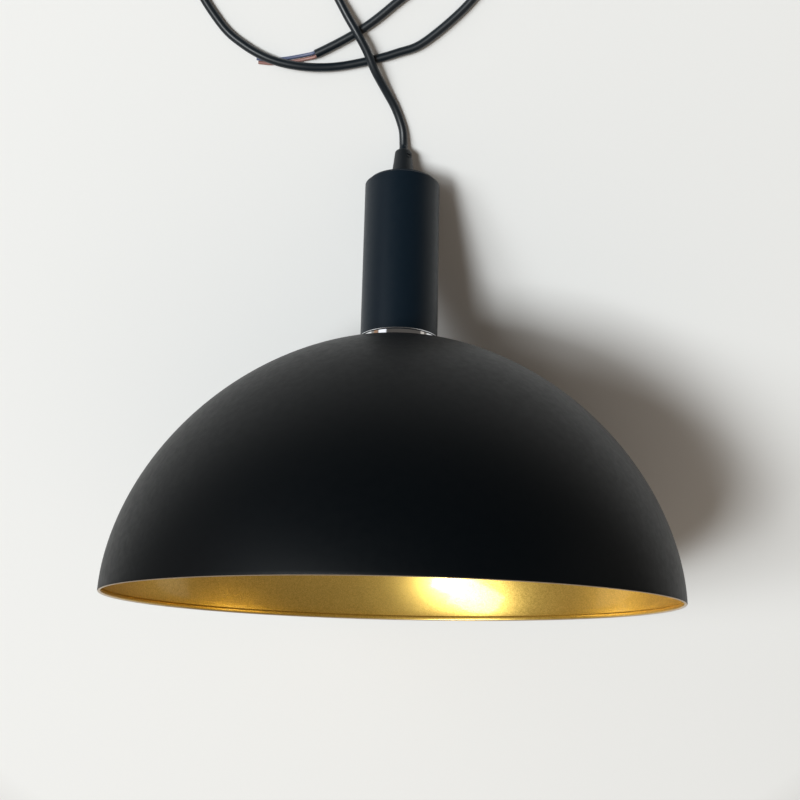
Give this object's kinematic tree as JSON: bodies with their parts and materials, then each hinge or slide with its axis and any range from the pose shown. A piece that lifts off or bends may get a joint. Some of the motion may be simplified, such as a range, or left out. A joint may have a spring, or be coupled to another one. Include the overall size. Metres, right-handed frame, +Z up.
{
  "type": "pendant light",
  "caption": "Pendant light with a black metal dome shade, gold inside, a cylindrical lampholder cup with a chrome collar, a cord grip and a loose bare-ended cord.",
  "frame": {"origin": "on the surface the lamp lies on, under the middle of the lamp's box without its cord", "axes": "+Z up from the surface, +Y from the shade towards the cord, +X across. The lamp lies on its side on the dome and on the cup's top edge, so its axis dips 32.13 degrees below horizontal towards +Y and the opening faces up and towards -Y. Turning the part 122.13 degrees about +X (right-hand rule) stands the axis up with the opening down, as it hangs."},
  "size_m": [0.3499, 0.5706, 0.3168],
  "materials": {
    "shade_black": "matte black powder coat outside, metallic gold paint inside",
    "chrome": "polished",
    "cup_black": "matte black powder coat",
    "grip_black": "moulded nylon",
    "steel": "zinc plated",
    "holder_black": "moulded phenolic",
    "fibre": "vulcanised fibre",
    "brass": "rolled",
    "ceramic_white": "steatite",
    "cord_black": "smooth PVC",
    "core_brown": "smooth PVC",
    "core_blue": "smooth PVC"
  },
  "bodies": {
    "lamp": {"shade": "shade_black", "chrome_collar": "chrome", "socket_cup": "cup_black", "cord_grip": "grip_black", "nipple": "steel", "cup_nut": "steel", "cup_washer": "steel", "holder_nut": "steel", "holder_washer": "steel", "holder_cap": "holder_black", "entry_bush": "brass", "holder_skirt": "holder_black", "contact_block": "ceramic_white", "screw_shell": "brass", "shell_rivets": "brass", "terminal_live": "brass", "terminal_neutral": "brass", "terminal_screws": "steel", "cord_lead": "cord_black", "wire_brown": "core_brown", "wire_blue": "core_blue", "wire_ferrules": "steel", "cord": "cord_black", "tail_brown": "core_brown", "tail_blue": "core_blue"},
    "contact": {"centre_contact": "brass", "contact_spring": "steel"},
    "ring_carrier": {"ring_washer": "fibre"},
    "ring": {"shade_ring": "holder_black"},
    "clamp": {"clamp_pad": "steel"},
    "clamp_thumb": {"clamp_screw": "grip_black"}
  },
  "joints": [
    {"name": "contact_travel", "type": "slide", "parent": "lamp", "child": "contact", "axis": [0, 0.8468, -0.5319], "range_m": [0, 0.0015], "stiffness_N_per_m": 600, "springref_m": -0.002, "deforming": ["contact_spring"]},
    {"name": "ring_travel", "type": "slide", "parent": "lamp", "child": "ring_carrier", "axis": [0, -0.8468, 0.5319], "range_m": [0, 0.015]},
    {"name": "ring_turn", "type": "hinge", "parent": "ring_carrier", "child": "ring", "pos_m": [0, 0.04989, 0.0853], "axis": [0, -0.8468, 0.5319], "range_deg": [0, 2700]},
    {"name": "clamp_travel", "type": "slide", "parent": "lamp", "child": "clamp", "axis": [0.6428, 0.4074, 0.6487], "range_m": [0, 0.0012]},
    {"name": "clamp_turn", "type": "hinge", "parent": "clamp", "child": "clamp_thumb", "pos_m": [0, 0.16929, 0.01031], "axis": [0.6428, 0.4074, 0.6487], "range_deg": [0, 617.14]}
  ],
  "couplings": [
    {"joint": "ring_travel", "follows": "ring_turn", "m_per_rad": 0.00031831},
    {"joint": "clamp_turn", "follows": "clamp_travel", "rad_per_m": 8976}
  ]
}
